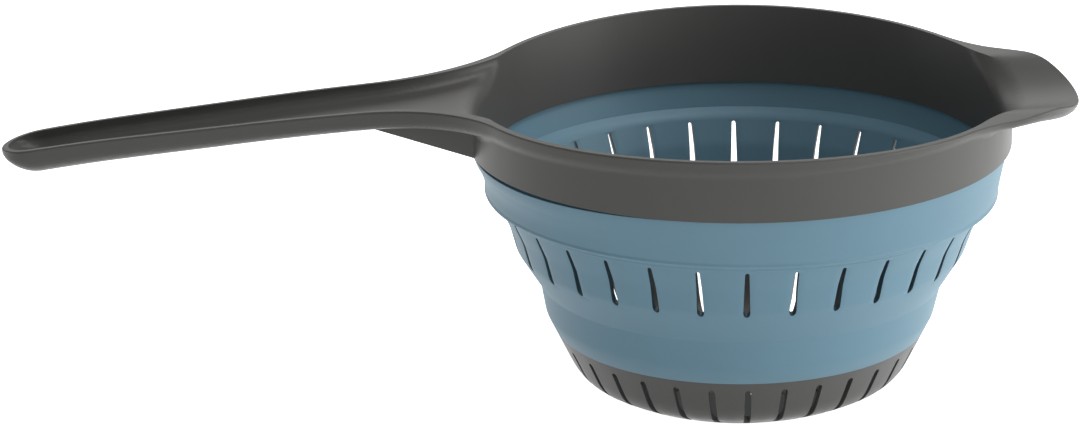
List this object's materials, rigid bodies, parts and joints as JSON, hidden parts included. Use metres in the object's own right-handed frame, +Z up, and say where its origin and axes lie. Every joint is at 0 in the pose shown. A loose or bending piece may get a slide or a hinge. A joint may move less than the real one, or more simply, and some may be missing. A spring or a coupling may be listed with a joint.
{
  "type": "collapsible colander",
  "caption": "Collapsible colander: rigid rim with trough handle and pouring lip, soft silicone wall that folds down, and a slotted rigid strainer base.",
  "frame": {"origin": "middle of the foot ring's underside, where the bowl's axis meets the surface it stands on", "axes": "+Z up along the bowl's axis, -X along the handle, +X towards the pouring lip"},
  "size_m": [0.3876, 0.1992, 0.117],
  "materials": {
    "grey_plastic": "satin, fine mould texture",
    "blue_silicone": "matte, velvety"
  },
  "bodies": {
    "base": {"strainer_base": "grey_plastic", "lower_band": "blue_silicone", "folding_band": "blue_silicone"},
    "rim": {"rim_frame": "grey_plastic", "upper_band": "blue_silicone"}
  },
  "joints": [
    {"name": "collapse", "type": "slide", "parent": "base", "child": "rim", "axis": [0, 0, 1], "range_m": [-0.0648, 0], "deforming": ["folding_band"]}
  ]
}
